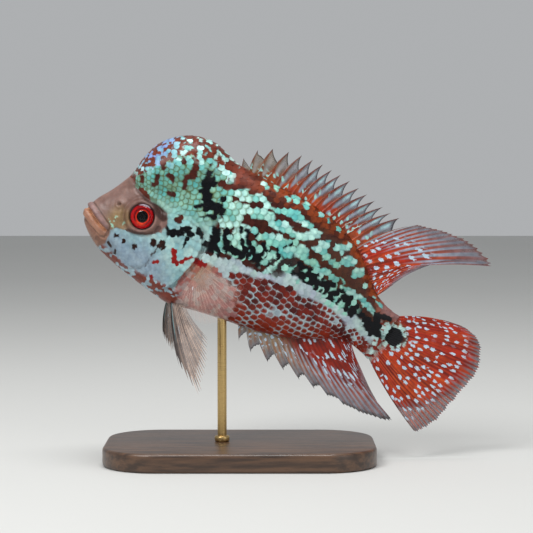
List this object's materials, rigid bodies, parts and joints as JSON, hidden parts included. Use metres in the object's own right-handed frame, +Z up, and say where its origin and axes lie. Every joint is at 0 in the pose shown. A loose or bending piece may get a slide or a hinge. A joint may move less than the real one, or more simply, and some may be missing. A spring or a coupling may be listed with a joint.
{
  "type": "flowerhorn cichlid",
  "caption": "Life-size still model of a swimming flowerhorn cichlid with a high nuchal hump and spread fins, on a plain rod stand.",
  "frame": {"origin": "centre of the stand base's underside", "axes": "+X from the fish's head to its tail, +Z up, the fish's left side towards -Y"},
  "size_m": [0.1978, 0.084, 0.1561],
  "materials": {
    "face_skin": "moist bare skin, mauve brown",
    "lip": "moist bare skin, peach",
    "hump_skin": "fine moist scales, red brown and mint",
    "gill_skin": "fine moist scales, pale turquoise",
    "flank_skin": "moist pearly scales, turquoise, maroon and black",
    "eye": "wet glossy eye, red iris and black pupil",
    "fin": "translucent orange-red fin with pale spots",
    "clear_fin": "nearly clear fin with pale rays",
    "brass": "satin brass rod",
    "walnut": "oiled dark wood"
  },
  "bodies": {
    "root": {"head": "face_skin", "nuchal_hump": "hump_skin", "lower_jaw": "lip", "eye_left": "eye", "eye_right": "eye", "gill_cover_left": "gill_skin", "gill_cover_right": "gill_skin", "trunk": "flank_skin", "tail_stalk": "flank_skin", "dorsal_fin_spines": "fin", "dorsal_fin_rays": "fin", "anal_fin": "fin", "tail_fin": "fin", "pectoral_fin_left": "clear_fin", "pectoral_fin_right": "clear_fin", "pelvic_fin_left": "clear_fin", "pelvic_fin_right": "clear_fin", "stand_rod": "brass", "stand_base": "walnut"}
  },
  "joints": []
}
